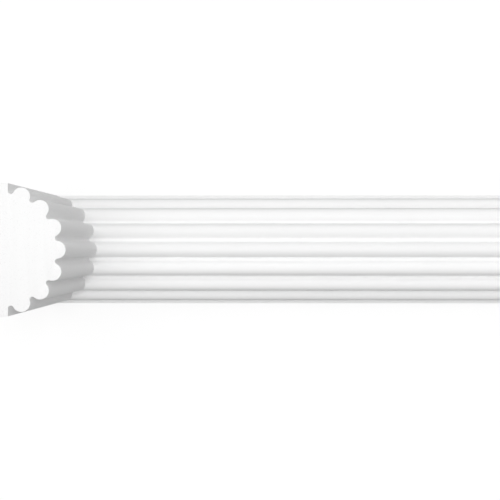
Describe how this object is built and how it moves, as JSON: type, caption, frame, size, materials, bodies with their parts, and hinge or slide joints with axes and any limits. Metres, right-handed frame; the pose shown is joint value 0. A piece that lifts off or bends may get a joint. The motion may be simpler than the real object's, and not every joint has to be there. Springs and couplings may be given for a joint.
{
  "type": "wall moulding",
  "caption": "Reeded half-round wall moulding on a flat base, mitred to turn an inside wall corner, with plain square-cut ends and a flat back.",
  "frame": {"origin": "middle of the box at floor level: under the middle of the long leg, on its flat back", "axes": "+X along the long leg, away from the mitred corner; +Y across the width; +Z out of the long leg's wall face, along the short leg"},
  "size_m": [2, 0.1, 0.196],
  "materials": {
    "primed_foam": "smooth white primer, matte"
  },
  "bodies": {
    "root": {"moulding": "primed_foam"}
  },
  "joints": []
}
